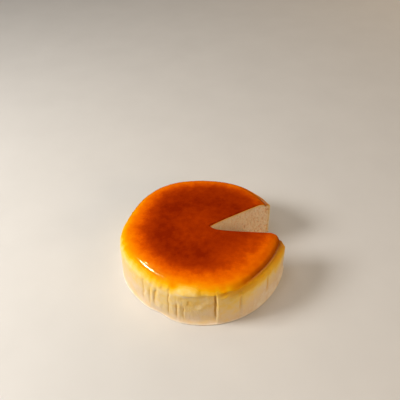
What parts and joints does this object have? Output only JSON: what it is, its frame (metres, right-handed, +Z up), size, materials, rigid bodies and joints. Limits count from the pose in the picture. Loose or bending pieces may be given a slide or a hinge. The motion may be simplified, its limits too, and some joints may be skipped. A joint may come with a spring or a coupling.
{
  "type": "jiggly cheesecake",
  "caption": "Round soft baked cheesecake with a glazed golden-brown top, pale creased sides and a wedge cut out to show the fine crumb.",
  "frame": {"origin": "middle of the bounding box at the flat base, on the surface that the cake stands on", "axes": "+Z up through the top; the missing wedge opens towards +X; -Y is the side with the upright folds"},
  "size_m": [0.1486, 0.1516, 0.0436],
  "materials": {
    "baked_cheesecake": "soft baked cheesecake: thin glossy orange-brown glaze on the top, matt cream side, airy cream crumb in the cut"
  },
  "bodies": {
    "root": {"cheesecake": "baked_cheesecake"}
  },
  "joints": []
}
